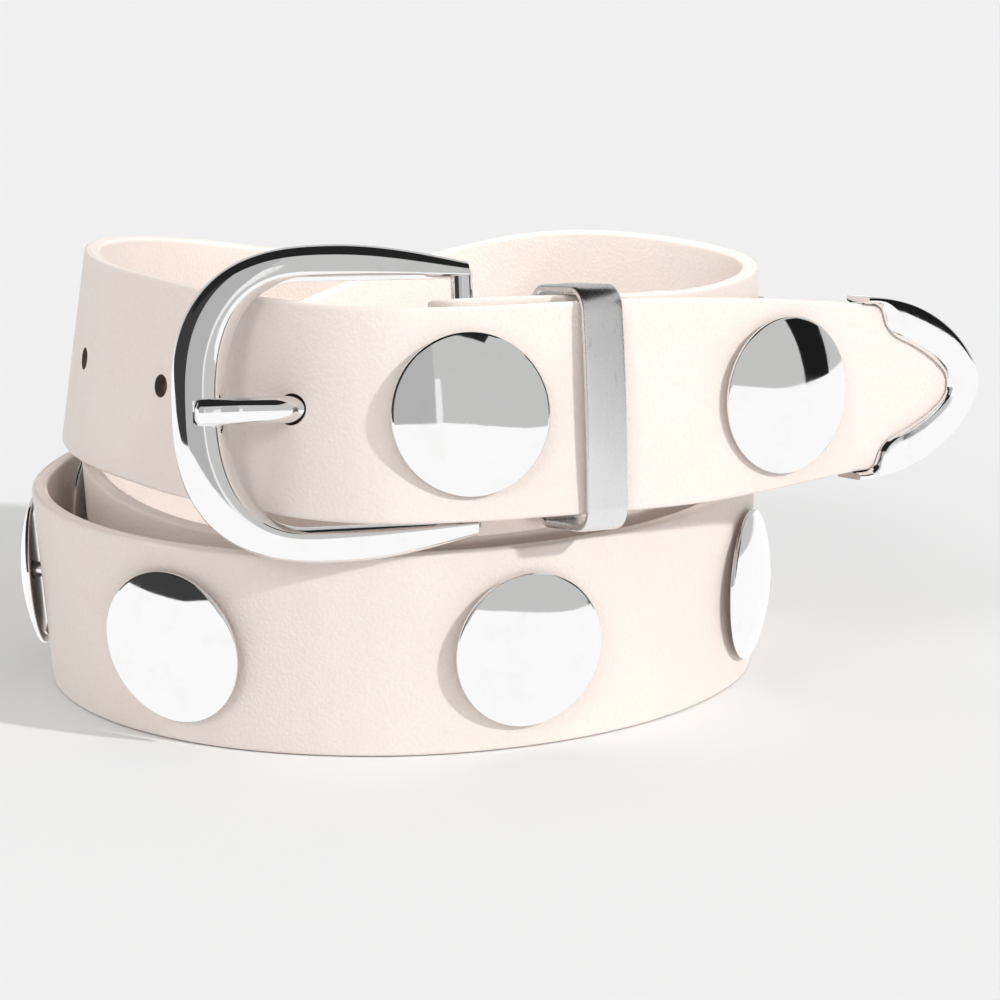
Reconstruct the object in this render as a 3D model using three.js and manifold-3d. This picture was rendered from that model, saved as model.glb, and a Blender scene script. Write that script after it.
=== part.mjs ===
// Studded leather belt with a three-piece metal buckle set, buckled and coiled on its edge.
// Millimetres, +Z up.  The coil stands on z = 0 and its buckle faces -Y.
import * as THREE from 'three';
import { mergeVertices } from 'three/addons/utils/BufferGeometryUtils.js';
import Module from 'manifold-3d';

// Strap
const strapWidth = 37.5;
const strapThickness = 3;
const edgeBevel = 0.6;
const pointWidth = 31;          // width where the metal point begins
const taperLength = 54;         // stretch over which the strap narrows towards it
const stationStep = 8.5;        // between the sections of the lofted strap

// Coil
const coilRadius = 66;
const turnClearance = 1.7;      // free room between a stud and the turn outside it
const lapGap = 1.8;             // between the two straps behind the buckle

// Studs
const studDiameter = 28.6;
const studRim = 0.8;
const studRise = 2.7;           // height of the dome over its rim
const studStandoff = 0.5;       // gap under the rim, where the strap twists
const postDiameter = 3;
const clenchDiameter = 6;
const clenchThickness = 0.6;
const clenchStandoff = 0.5;
const firstStud = 50.5;         // from the strap's point
const studPitch = 64.3;
const frontStuds = 2;           // studs before the holes
const studSides = 16;

// Prong holes
const holeDiameter = 4.2;
const firstHole = 144.7;        // the one that the prong goes through
const holePitch = 34;
const holeCount = 6;
const holesToStud = 22.4;       // last hole to the next stud

// Buckle
const barTurn = 1065.7;         // place of the bar round the coil
const barDiameter = 4;
const barPlay = 0.5;            // extra room for the bar in the strap's fold
const frameReach = 51.8;        // bar to the far side of the frame
const frameHeight = 55.9;
const frameBarHeight = 48.4;    // over the rails where they meet the bar
const sideWidth = 9.5;           // across the far side
const railWidth = 6.4;          // across the rails at their middle
const barRailWidth = 3;         // across the rails at the bar
const frameThickness = 4.6;
const outerSwell = 24 / 53.2;   // where the rails are widest apart, as a share of the reach
const innerSwell = 29 / 53.2;
const outerRound = 2.6;         // power of the superellipse: 2 is an ellipse
const innerRound = 2.35;
const frameTurn = 9.5;          // degrees that the far side stands forward
const frameLift = 1.2;          // frame's middle over the strap's middle at the bar
const notchDepth = 1.1;
const prongDiameter = 4.8;
const prongNeck = 3.6;
const prongRingWall = 1.5;
const prongDrop = 0.8;          // it hangs that far under the frame's middle
const prongLength = 48.2;       // bar to the prong's end
const foldLength = 42;          // strap folded back behind the bar
const slotRoom = 1;             // beside the prong's ring in the fold

// Keeper and metal point
const keeperToStud = 24.4;      // keeper's middle to the second stud
const keeperWidth = 8;
const keeperWall = 1.3;
const keeperCorner = 4.5;
const keeperSlack = 5.2;        // free depth behind the straps
const keeperGap = 0.6;          // in front of the straps
const keeperPlay = 3.4;         // free height round the straps
const keeperLift = -0.3;        // its middle over the strap's middle
const keeperTurn = 3;           // degrees that it sits askew
const capLength = 31.2;
const capPower = 0.62;          // 0.5 is an ellipse, more is more pointed
const capWall = 1.1;
const capWindow = 8.0;          // metal left in front of the leather at the very point
const capArm = 1.3;             // metal left beside the leather at the open end

const fit = 0.3;                // gap that touching pieces keep
const gridStep = 1e-3;
const holeSides = 8;

const studHeight = fit + studStandoff + studRim + studRise;
const layerStep = strapThickness + studHeight + turnClearance;
const lapStep = strapThickness + lapGap;
const foldRadius = barDiameter / 2 + fit + barPlay + strapThickness / 2;
const rad = THREE.MathUtils.degToRad;

// The strap's route, from its point to the bar.
// turn: degrees round the coil, clockwise seen from above, 0 at the front
// reach: the strap's middle from the coil's axis, as a share of coilRadius
// layers, laps: how many stud layers or strap laps it lies inside that
// lift: its lower edge over the ground, as a share of strapWidth
// lean: degrees that its upper edge tips outwards
const route = [
  { turn: -84, reach: 1.767, layers: 0, laps: 0, lift: 1.005, lean: -3 },
  { turn: -75, reach: 1.559, layers: 0, laps: 0, lift: 1.056, lean: -3 },
  { turn: -66, reach: 1.424, layers: 0, laps: 0, lift: 1.104, lean: -3 },
  { turn: -57, reach: 1.335, layers: 0, laps: 0, lift: 1.133, lean: -3 },
  { turn: -47, reach: 1.27, layers: 0, laps: 0, lift: 1.155, lean: -5 },
  { turn: -36, reach: 1.226, layers: 0, laps: 0, lift: 1.179, lean: -7 },
  { turn: -24, reach: 1.208, layers: 0, laps: 0, lift: 1.195, lean: -9 },
  { turn: -12, reach: 1.223, layers: 0, laps: 0, lift: 1.205, lean: -12 },
  { turn: -3, reach: 1.233, layers: 0, laps: 0, lift: 1.211, lean: -13 },
  { turn: 5, reach: 1.191, layers: 0, laps: 0, lift: 1.208, lean: -12 },
  { turn: 15, reach: 1.105, layers: 0, laps: 0, lift: 1.205, lean: -10 },
  { turn: 27, reach: 1.03, layers: 0, laps: 0, lift: 1.203, lean: -9 },
  { turn: 44, reach: 0.936, layers: 0, laps: 0, lift: 1.195, lean: -9 },
  { turn: 68, reach: 0.882, layers: 0, laps: 0, lift: 1.173, lean: -8 },
  { turn: 90, reach: 0.87, layers: 0, laps: 0, lift: 1.147, lean: -8 },
  { turn: 115, reach: 0.879, layers: 0, laps: 0, lift: 1.077, lean: -7 },
  { turn: 145, reach: 0.927, layers: 0, laps: 0, lift: 0.928, lean: -6 },
  { turn: 180, reach: 0.992, layers: 0, laps: 0, lift: 0.704, lean: -5 },
  { turn: 225, reach: 1.055, layers: 0, laps: 0, lift: 0.293, lean: -3 },
  { turn: 270, reach: 1.076, layers: 0, laps: 0, lift: 0, lean: 0 },
  { turn: 300, reach: 1.07, layers: 0, laps: 0, lift: 0, lean: 0 },
  { turn: 330, reach: 1.079, layers: 0, laps: 0, lift: 0, lean: 1.5 },
  { turn: 360, reach: 1.1, layers: 0, laps: 0, lift: 0, lean: 3.5 },
  { turn: 390, reach: 1.097, layers: 0, laps: 0, lift: 0, lean: 6 },
  { turn: 420, reach: 1.033, layers: 0, laps: 0, lift: 0, lean: 5.5 },
  { turn: 450, reach: 0.938, layers: 0, laps: 0, lift: 0, lean: 4 },
  { turn: 466, reach: 0.909, layers: 0.1, laps: 0, lift: 0, lean: 3 },
  { turn: 480, reach: 0.921, layers: 0.6, laps: 0, lift: 0, lean: 1 },
  { turn: 494, reach: 0.924, layers: 1, laps: 0, lift: 0, lean: 0 },
  { turn: 510, reach: 0.912, layers: 1, laps: 0, lift: 0, lean: 0 },
  { turn: 540, reach: 0.952, layers: 1, laps: 0, lift: 0, lean: 0 },
  { turn: 585, reach: 1.027, layers: 1, laps: 0, lift: 0, lean: 0 },
  { turn: 630, reach: 1.071, layers: 1, laps: 0, lift: 0, lean: 0 },
  { turn: 675, reach: 1.076, layers: 1, laps: 0, lift: 0, lean: 1 },
  { turn: 720, reach: 1.1, layers: 1, laps: 0, lift: 0, lean: 3 },
  { turn: 750, reach: 1.091, layers: 1, laps: 0, lift: 0.032, lean: 4 },
  { turn: 780, reach: 1.024, layers: 1, laps: 0, lift: 0.112, lean: 4 },
  { turn: 810, reach: 0.933, layers: 1, laps: 0, lift: 0.219, lean: 3 },
  { turn: 840, reach: 0.948, layers: 2, laps: 0, lift: 0.373, lean: 1 },
  { turn: 865, reach: 0.918, layers: 2, laps: 0, lift: 0.541, lean: 0 },
  { turn: 900, reach: 0.955, layers: 2, laps: 0, lift: 0.784, lean: 0 },
  { turn: 930, reach: 1.015, layers: 1.8, laps: 0, lift: 0.981, lean: 0 },
  { turn: 945, reach: 1.024, layers: 1.45, laps: 0, lift: 1.045, lean: 0 },
  { turn: 965, reach: 1.03, layers: 0.85, laps: 0, lift: 1.075, lean: -1 },
  { turn: 980, reach: 1.039, layers: 0.3, laps: 0, lift: 1.088, lean: -2 },
  { turn: 992, reach: 1.067, layers: 0, laps: 0, lift: 1.099, lean: -3 },
  { turn: 1012, reach: 1.142, layers: 0, laps: 0, lift: 1.125, lean: -5 },
  { turn: 1033, reach: 1.261, layers: 0, laps: 1, lift: 1.163, lean: -7 },
  { turn: 1056, reach: 1.205, layers: 0, laps: 1, lift: 1.205, lean: -10 },
  { turn: 1068, reach: 1.223, layers: 0, laps: 1, lift: 1.219, lean: -13 },
  { turn: 1077, reach: 1.233, layers: 0, laps: 1, lift: 1.219, lean: -13 },
];

const leather = new THREE.MeshStandardMaterial({ color: 0xf2e9e0, roughness: 0.55, metalness: 0 });
const chrome = new THREE.MeshStandardMaterial({ color: 0xd9dadc, roughness: 0.08, metalness: 1 });
const satin = new THREE.MeshStandardMaterial({ color: 0xc9c9cb, roughness: 0.3, metalness: 1 });

const wasm = await Module();
wasm.setup();

// Solids and meshes

// Closed mesh through a run of like loops of points, capped flat at both ends.
function loft(loops) {
  const count = loops[0].length;
  const positions = loops.flat().flatMap((p) => [p.x, p.y, p.z]);
  const indices = [];
  for (let i = 0; i < loops.length - 1; i += 1) {
    for (let j = 0; j < count; j += 1) {
      const a = i * count + j;
      const b = i * count + (j + 1) % count;
      indices.push(a, b, b + count, a, b + count, a + count);
    }
  }
  const last = (loops.length - 1) * count;
  for (let j = 1; j < count - 1; j += 1) {
    indices.push(0, j + 1, j);
    indices.push(last, last + j, last + j + 1);
  }
  if (enclosedVolume(positions, indices) < 0) indices.reverse();
  return fromArrays(positions, indices);
}

// Volume inside a closed mesh, below zero where its faces point inwards.
function enclosedVolume(positions, indices) {
  const corner = (k) => new THREE.Vector3().fromArray(positions, 3 * indices[k]);
  let volume = 0;
  for (let k = 0; k < indices.length; k += 3) {
    volume += corner(k).dot(corner(k + 1).cross(corner(k + 2))) / 6;
  }
  return volume;
}

function fromArrays(positions, indices) {
  const geometry = new THREE.BufferGeometry();
  geometry.setAttribute('position', new THREE.Float32BufferAttribute(positions, 3));
  geometry.setIndex(indices);
  return geometry;
}

function toSolid(geometry) {
  const plain = geometry.clone();
  plain.deleteAttribute('normal');
  plain.deleteAttribute('uv');
  const merged = mergeVertices(plain, gridStep);
  return new wasm.Manifold(new wasm.Mesh({
    numProp: 3,
    vertProperties: new Float32Array(merged.attributes.position.array),
    triVerts: new Uint32Array(merged.index.array),
  }));
}

function toGeometry(solid) {
  const mesh = solid.getMesh();
  const positions = [];
  for (let i = 0; i < mesh.numVert; i += 1) {
    const at = i * mesh.numProp;
    positions.push(mesh.vertProperties[at], mesh.vertProperties[at + 1], mesh.vertProperties[at + 2]);
  }
  return fromArrays(positions, [...mesh.triVerts]);
}

function named(name, geometry, material) {
  const mesh = new THREE.Mesh(geometry, material);
  mesh.name = name;
  return mesh;
}

// Cylinder with its axis along local Z, from z = low to z = high.
function rod(diameter, low, high, sides) {
  const geometry = new THREE.CylinderGeometry(diameter / 2, diameter / 2, high - low, sides);
  return geometry.rotateX(Math.PI / 2).translate(0, 0, (low + high) / 2);
}

// The strap's route

// One column of the route at a turn angle, on a smooth curve through the rows.
function routeValue(name, turn) {
  const rows = route;
  let i = 0;
  while (i < rows.length - 2 && rows[i + 1].turn < turn) i += 1;
  const slope = (k) => {
    const from = rows[Math.max(k - 1, 0)];
    const to = rows[Math.min(k + 1, rows.length - 1)];
    return (to[name] - from[name]) / (to.turn - from.turn);
  };
  const span = rows[i + 1].turn - rows[i].turn;
  const t = (turn - rows[i].turn) / span;
  const rise = 3 * t * t - 2 * t * t * t;
  return rows[i][name] * (1 - rise) + rows[i + 1][name] * rise
    + slope(i) * span * t * (1 - t) * (1 - t) - slope(i + 1) * span * t * t * (1 - t);
}

// Middle of the strap at a turn angle.
function routePoint(turn) {
  const reach = coilRadius * routeValue('reach', turn)
    - layerStep * routeValue('layers', turn) - lapStep * routeValue('laps', turn);
  const height = strapWidth * (routeValue('lift', turn) + 0.5);
  return new THREE.Vector3(-reach * Math.sin(rad(turn)), -reach * Math.cos(rad(turn)), height);
}

// Place and directions of the strap at a turn angle: along runs towards its point,
// across goes up its width, face comes out of its grain side.
function routeFrame(turn) {
  const probe = 0.5;
  const along = routePoint(turn - probe).sub(routePoint(turn + probe)).normalize();
  const out = new THREE.Vector3(along.y, -along.x, 0).normalize();
  const up = new THREE.Vector3().crossVectors(out, along);
  const lean = rad(routeValue('lean', turn));
  const across = up.clone().multiplyScalar(Math.cos(lean)).addScaledVector(out, Math.sin(lean));
  const face = new THREE.Vector3().crossVectors(along, across);
  return { point: routePoint(turn), along, across, face };
}

const routeStart = -81.9;
const routeTable = measureRoute();

// Distances along the strap at every degree, from routeStart to the bar.
function measureRoute() {
  const table = [{ turn: routeStart, run: 0 }];
  let before = routePoint(routeStart);
  while (table.at(-1).turn < barTurn) {
    const turn = Math.min(table.at(-1).turn + 1, barTurn);
    const point = routePoint(turn);
    table.push({ turn, run: table.at(-1).run + point.distanceTo(before) });
    before = point;
  }
  return table;
}

function turnAt(run) {
  const after = Math.max(1, routeTable.findIndex((row) => row.run >= run));
  const [a, b] = [routeTable[after - 1], routeTable[after]];
  return a.turn + (b.turn - a.turn) * (run - a.run) / (b.run - a.run);
}

// Frame at a distance from the strap's point.  The stretch in the metal point is straight.
function frameAt(run) {
  if (run >= capLength) return routeFrame(turnAt(run));
  const frame = routeFrame(turnAt(capLength));
  frame.point.addScaledVector(frame.along, capLength - run);
  return frame;
}

function place(frame, x, y, z) {
  return frame.point.clone().addScaledVector(frame.along, x)
    .addScaledVector(frame.across, y).addScaledVector(frame.face, z);
}

function frameMatrix(frame) {
  return new THREE.Matrix4().makeBasis(frame.along, frame.across, frame.face)
    .setPosition(frame.point);
}

// Strap

// Half the width of the metal point's outline, at a distance from its end.
function capHalfWidth(run) {
  const t = THREE.MathUtils.clamp(1 - run / capLength, 0, 1);
  return (pointWidth / 2 + capWall + fit) * Math.max(1 - t * t, 0) ** capPower;
}

function strapHalfWidth(run) {
  const inset = capWall + fit;
  if (run < capLength) {
    return capHalfWidth(run) - inset;
  }
  const t = Math.min((run - capLength) / taperLength, 1);
  return THREE.MathUtils.lerp(pointWidth, strapWidth, Math.sin(t * Math.PI / 2)) / 2;
}

// Cross-section of the strap with bevelled edges, round a frame.
function strapLoop(frame, halfWidth) {
  const half = strapThickness / 2;
  const bevel = Math.min(edgeBevel, halfWidth / 2);
  return [
    [halfWidth - bevel, half], [halfWidth, half - bevel],
    [halfWidth, bevel - half], [halfWidth - bevel, -half],
    [bevel - halfWidth, -half], [-halfWidth, bevel - half],
    [-halfWidth, half - bevel], [bevel - halfWidth, half],
  ].map(([y, z]) => place(frame, 0, y, z));
}

// Frames where the strap wraps the bar and lies back against its own inner side.
function foldFrames(barFrame) {
  const radius = foldRadius;
  const frames = [];
  const bends = 8;
  for (let i = 1; i <= bends; i += 1) {
    const angle = Math.PI * i / bends;
    const frame = { ...barFrame };
    frame.point = place(barFrame, -radius * Math.sin(angle), 0, radius * (Math.cos(angle) - 1));
    frame.along = barFrame.along.clone().applyAxisAngle(barFrame.across, -angle);
    frame.face = barFrame.face.clone().applyAxisAngle(barFrame.across, -angle);
    frames.push(frame);
  }
  const closeUp = 14;
  for (let back = stationStep / 2; back <= foldLength; back += stationStep) {
    const t = Math.min(back / closeUp, 1);
    const ease = t * t * (3 - 2 * t);
    const behind = THREE.MathUtils.lerp(2 * radius, strapThickness + fit, ease);
    const main = frameAt(barRun - back);
    frames.push({
      point: place(main, 0, 0, -behind),
      along: main.along.clone().negate(),
      across: main.across,
      face: main.face.clone().negate(),
    });
  }
  return frames;
}

function strapSolid() {
  const loops = [];
  const tipInset = capWall + fit;
  const tipRuns = [0, 0.8, 2.4, 5, 8.5, 13, 18, 23.5].map((run) => run + tipInset + 0.3);
  for (const run of tipRuns) {
    loops.push(strapLoop(frameAt(run), strapHalfWidth(run)));
  }
  const bodyStart = capLength - 2;
  const steps = Math.ceil((barRun - bodyStart) / stationStep);
  for (let i = 0; i <= steps; i += 1) {
    const run = bodyStart + (barRun - bodyStart) * i / steps;
    loops.push(strapLoop(frameAt(run), strapHalfWidth(run)));
  }
  for (const frame of foldFrames(frameAt(barRun))) {
    loops.push(strapLoop(frame, strapWidth / 2));
  }
  return toSolid(loft(loops));
}

// Studs

function studRuns() {
  const runs = [];
  for (let i = 0; i < frontStuds; i += 1) {
    runs.push(firstStud + i * studPitch);
  }
  const second = firstHole + (holeCount - 1) * holePitch + holesToStud;
  const lastRun = barRun - foldLength - studDiameter / 2;
  for (let run = second; run <= lastRun; run += studPitch) {
    runs.push(run);
  }
  return runs;
}

// Dome with its post through the strap and the clenched end inside, about local Z;
// z = 0 is the middle of the strap.
function studGeometry() {
  const radius = studDiameter / 2;
  const skin = strapThickness / 2;
  const back = skin + fit + studStandoff;
  const rim = back + studRim;
  const inner = -skin - fit - clenchStandoff;
  const profile = [
    [0, inner - clenchThickness], [clenchDiameter / 2, inner - clenchThickness],
    [clenchDiameter / 2, inner], [postDiameter / 2, inner], [postDiameter / 2, back],
    [radius, back], [radius, rim],
  ];
  for (const share of [0.8, 0.48]) {
    profile.push([radius * share, rim + studRise * (1 - share * share)]);
  }
  profile.push([0, rim + studRise]);
  const points = profile.map(([r, z]) => new THREE.Vector2(r, z));
  return toGeometry(toSolid(new THREE.LatheGeometry(points, studSides).rotateX(Math.PI / 2)));
}

// Buckle frame

const barRun = routeTable.at(-1).run;

// Frame of the buckle: origin on the bar, x away from the far side, y up, z to the viewer.
function buckleMatrix() {
  const frame = frameAt(barRun);
  const origin = place(frame, 0, frameLift, -foldRadius);
  const turnForward = rad(frameTurn);
  const x = new THREE.Vector3(Math.cos(turnForward), Math.sin(turnForward), 0);
  const y = frame.across.clone().addScaledVector(x, -frame.across.dot(x)).normalize();
  const z = new THREE.Vector3().crossVectors(x, y);
  return new THREE.Matrix4().makeBasis(x, y, z).setPosition(origin);
}

// Outer and inner outline of the frame at a share of the way round,
// 0 and 1 where the rails meet the bar.
function frameOutline(share) {
  const bulge = outerSwell * frameReach;
  const innerBulge = innerSwell * frameReach;
  const side = share < 0.5 ? 1 : -1;
  const t = share < 0.5 ? share * 2 : 2 - share * 2;
  const straight = 0.3;
  const halfOuter = frameHeight / 2;
  const halfInner = halfOuter - railWidth;
  if (t < straight) {
    const s = t / straight;
    const outerY = THREE.MathUtils.lerp(frameBarHeight / 2, halfOuter, Math.sin(s * Math.PI / 2));
    const innerY = THREE.MathUtils.lerp(frameBarHeight / 2 - barRailWidth, halfInner, s);
    const lead = -1.2 * (1 - s);
    return {
      outer: new THREE.Vector2(-lead - bulge * s, side * outerY),
      inner: new THREE.Vector2(-lead - innerBulge * s, side * innerY),
    };
  }
  const angle = (t - straight) / (1 - straight) * Math.PI / 2;
  const round = (value, power) => Math.abs(value) ** (2 / power);
  const outer = new THREE.Vector2(
    -bulge - (frameReach - bulge) * round(Math.sin(angle), outerRound),
    side * halfOuter * round(Math.cos(angle), outerRound),
  );
  const inner = new THREE.Vector2(
    -innerBulge - (frameReach - sideWidth - innerBulge) * round(Math.sin(angle), innerRound),
    side * halfInner * round(Math.cos(angle), innerRound),
  );
  return { outer, inner };
}

function frameSolid() {
  const steps = 40;
  const half = frameThickness / 2;
  const section = [
    [0, -half + 1], [0.16, -half], [0.92, -half], [1, -half + 0.4],
    [0.96, half * 0.35], [0.78, half * 0.86], [0.5, half], [0.2, half * 0.8], [0.03, half * 0.25],
  ];
  const loops = [];
  for (let i = 0; i <= steps; i += 1) {
    const { outer, inner } = frameOutline(i / steps);
    loops.push(section.map(([share, z]) => {
      const p = inner.clone().lerp(outer, share);
      return new THREE.Vector3(p.x, p.y, z);
    }));
  }
  const ring = toSolid(loft(loops));
  const barHalf = frameBarHeight / 2 - barRailWidth / 2;
  const bar = toSolid(rod(barDiameter, -barHalf, barHalf, 12).rotateX(Math.PI / 2));
  const notch = toSolid(rod(prongDiameter + 2 * fit, 0, sideWidth * 2, 16).rotateY(Math.PI / 2)
    .translate(-frameReach - sideWidth / 2, -prongDrop, half + prongDiameter / 2 + fit - notchDepth));
  return ring.add(bar).subtract(notch);
}

// Prong

// Points along the prong's middle in the buckle's frame: behind the strap, out through
// its hole and over the far side.
function prongPath() {
  const half = frameThickness / 2;
  const rest = half + prongDiameter / 2 + fit - notchDepth;
  const start = barDiameter / 2 + fit + prongRingWall / 2;
  return [
    [start * 0.4, 0.2], [start + 5, 0.3], [prongLength * 0.56, 0.9], [prongLength * 0.7, 3.2],
    [prongLength * 0.81, rest + 0.2], [prongLength * 0.91, rest], [prongLength, rest],
  ].map(([x, z]) => new THREE.Vector3(-x, -prongDrop, z));
}

// Round bar along the prong's path, thinner in its hidden stretch.
function prongRod(grow) {
  const curve = new THREE.CatmullRomCurve3(prongPath(), false, 'centripetal');
  const steps = 20;
  const sides = 12;
  const loops = [];
  for (let i = 0; i <= steps; i += 1) {
    const t = i / steps;
    const point = curve.getPointAt(t);
    const tangent = curve.getTangentAt(t);
    const side = new THREE.Vector3(-tangent.z, 0, tangent.x);
    const swell = THREE.MathUtils.smoothstep(t, 0.35, 0.6);
    const endRound = Math.min(1, 0.72 + (1 - t) * 6);
    const radius = THREE.MathUtils.lerp(prongNeck, prongDiameter, swell) / 2 * endRound + grow;
    const loop = [];
    for (let j = 0; j < sides; j += 1) {
      const angle = 2 * Math.PI * j / sides;
      loop.push(point.clone().addScaledVector(side, radius * Math.cos(angle))
        .add(new THREE.Vector3(0, radius * Math.sin(angle), 0)));
    }
    loops.push(loop);
  }
  return toSolid(loft(loops));
}

function prongSolid() {
  const inside = barDiameter + 2 * fit;
  const outside = inside + 2 * prongRingWall;
  const half = prongNeck / 2;
  const ring = toSolid(rod(outside, -half, half, 20).rotateX(Math.PI / 2).translate(0, -prongDrop, 0));
  const bore = toSolid(rod(inside, -prongNeck, prongNeck, 20).rotateX(Math.PI / 2)
    .translate(0, -prongDrop, 0));
  return ring.add(prongRod(0)).subtract(bore);
}

// Keeper and metal point

function roundedRectangle(width, height, corner) {
  const shape = new THREE.Shape();
  const [x, y] = [width / 2, height / 2];
  shape.moveTo(-x + corner, -y);
  shape.absarc(x - corner, -y + corner, corner, -Math.PI / 2, 0);
  shape.absarc(x - corner, y - corner, corner, 0, Math.PI / 2);
  shape.absarc(-x + corner, y - corner, corner, Math.PI / 2, Math.PI);
  shape.absarc(-x + corner, -y + corner, corner, Math.PI, Math.PI * 1.5);
  return shape;
}

function keeperMesh() {
  const frame = frameAt(firstStud + studPitch - keeperToStud);
  const depth = 3 * strapThickness + lapGap + 3 * fit + keeperSlack;
  const height = strapWidth + keeperPlay;
  const shape = roundedRectangle(height + 2 * keeperWall, depth + 2 * keeperWall, keeperCorner);
  shape.holes.push(roundedRectangle(height, depth, keeperCorner - keeperWall));
  const geometry = new THREE.ExtrudeGeometry(shape, {
    depth: keeperWidth, bevelEnabled: false, curveSegments: 5,
  });
  // the extrusion's x, y and z become across, face and along
  geometry.translate(0, 0, -keeperWidth / 2);
  geometry.rotateY(Math.PI / 2).rotateX(Math.PI / 2);
  const mesh = named('keeper_loop', geometry, satin);
  const middle = strapThickness / 2 + keeperGap - depth / 2;
  frame.point = place(frame, 0, keeperLift, middle);
  const turned = new THREE.Matrix4().makeRotationY(rad(keeperTurn));
  mesh.applyMatrix4(frameMatrix(frame).multiply(turned));
  return mesh;
}

// Outline of the metal point from its end, or of a copy drawn in by an inset.
function capShape(inset, length) {
  const shape = new THREE.Shape();
  const steps = 12;
  const outline = [];
  for (let i = 0; i <= steps; i += 1) {
    const run = inset + (capLength - inset) * (1 - Math.cos(i / steps * Math.PI / 2));
    const half = i === 0 ? 0 : capHalfWidth(run) - inset;
    outline.push([run, Math.max(half, 0)]);
  }
  outline.push([length, outline.at(-1)[1]]);
  shape.moveTo(-outline[0][0], 0);
  for (const [run, half] of outline.slice(1)) shape.lineTo(-run, half);
  for (const [run, half] of outline.slice(1).reverse()) shape.lineTo(-run, -half);
  return shape;
}

// The pointed window through which the leather shows.
function capWindowShape() {
  const open = capHalfWidth(capLength) - capArm;
  const rise = capLength - capWindow;
  const shape = new THREE.Shape();
  const side = [[0.08, 0.14], [0.26, 0.4], [0.48, 0.53], [0.67, 0.64], [0.76, 0.8], [0.82, 0.95], [1.1, 1]];
  shape.moveTo(-capWindow, 0);
  for (const [x, y] of side) shape.lineTo(-capWindow - rise * x, open * y);
  for (const [x, y] of side.slice().reverse()) shape.lineTo(-capWindow - rise * x, -open * y);
  return shape;
}

function slab(shape, low, high) {
  return toSolid(new THREE.ExtrudeGeometry(shape, { depth: high - low, bevelEnabled: false })
    .translate(0, 0, low));
}

function tipSolid() {
  const inner = strapThickness / 2 + fit;
  const outer = inner + capWall;
  const shell = slab(capShape(0, capLength), -outer, outer);
  const pocket = slab(capShape(capWall, capLength + 5), -inner, inner);
  const window = slab(capWindowShape(), -outer - 1, outer + 1);
  return shell.subtract(pocket).subtract(window);
}

// Assembly

function buildBelt() {
  const belt = new THREE.Group();
  const buckle = buckleMatrix();
  const studs = studRuns().map((run) => frameMatrix(frameAt(run)));

  let strap = strapSolid();
  const postHole = rod(postDiameter + 2 * fit, -strapThickness, strapThickness, holeSides);
  for (const matrix of studs) {
    strap = strap.subtract(toSolid(postHole.clone().applyMatrix4(matrix)));
  }
  const prongHole = rod(holeDiameter, -strapThickness, strapThickness, 12);
  for (let i = 1; i < holeCount; i += 1) {
    const matrix = frameMatrix(frameAt(firstHole + i * holePitch));
    strap = strap.subtract(toSolid(prongHole.clone().applyMatrix4(matrix)));
  }
  strap = strap.subtract(prongRod(fit + 0.1).transform(buckle.elements));
  strap = strap.subtract(foldSlot(buckle));
  const ground = new THREE.BoxGeometry(coilRadius * 6, coilRadius * 6, strapWidth)
    .translate(0, 0, -strapWidth / 2);
  strap = strap.subtract(toSolid(ground));

  belt.add(named('strap', toGeometry(strap), leather));
  belt.add(named('buckle_frame', toGeometry(frameSolid().transform(buckle.elements)), chrome));
  belt.add(named('prong', toGeometry(prongSolid().transform(buckle.elements)), chrome));
  belt.add(keeperMesh());
  const tip = named('tip', toGeometry(tipSolid()), chrome);
  tip.applyMatrix4(frameMatrix(frameAt(0)));
  belt.add(tip);
  studs.forEach((matrix, i) => {
    const stud = named(`stud_${String(i + 1).padStart(2, '0')}`, studGeometry(), chrome);
    stud.applyMatrix4(matrix);
    belt.add(stud);
  });
  return belt;
}

// Slot in the fold for the prong's ring, kept off the strap in front of the bar.
function foldSlot(buckle) {
  const reach = barDiameter / 2 + fit + prongRingWall + strapThickness;
  const front = foldRadius + strapThickness / 2 + lapGap / 2;
  const slot = new THREE.BoxGeometry(reach * 2.4, prongNeck + 2 * fit + slotRoom, reach * 2)
    .translate(1, -prongDrop, front - reach);
  return toSolid(slot.applyMatrix4(buckle));
}

// The origin is under the middle of the whole belt, on the ground.
function centred(group) {
  const box = new THREE.Box3().setFromObject(group, true);
  const middle = box.getCenter(new THREE.Vector3());
  group.position.set(-middle.x, -middle.y, -box.min.z);
  return group;
}

export default centred(buildBelt());
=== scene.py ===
# Studded leather belt with a three-piece metal buckle set, buckled and coiled on its edge
import math

import bmesh
import bpy
from mathutils import Matrix, Vector


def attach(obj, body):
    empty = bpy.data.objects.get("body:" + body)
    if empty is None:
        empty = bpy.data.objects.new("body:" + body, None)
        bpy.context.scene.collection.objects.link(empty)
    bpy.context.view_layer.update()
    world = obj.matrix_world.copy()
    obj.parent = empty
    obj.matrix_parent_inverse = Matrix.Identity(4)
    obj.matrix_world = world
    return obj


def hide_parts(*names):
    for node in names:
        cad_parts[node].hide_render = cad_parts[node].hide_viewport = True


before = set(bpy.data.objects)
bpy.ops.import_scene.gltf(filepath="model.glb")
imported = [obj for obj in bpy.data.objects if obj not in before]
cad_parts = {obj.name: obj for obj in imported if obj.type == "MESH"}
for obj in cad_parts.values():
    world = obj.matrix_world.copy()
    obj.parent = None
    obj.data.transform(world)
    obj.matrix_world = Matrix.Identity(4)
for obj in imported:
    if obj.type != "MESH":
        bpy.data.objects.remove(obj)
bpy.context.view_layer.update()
print("frame loaded:", len(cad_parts), "nodes")

mm = 0.001  # shapes are worked out in millimetres, round the coil's axis

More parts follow.
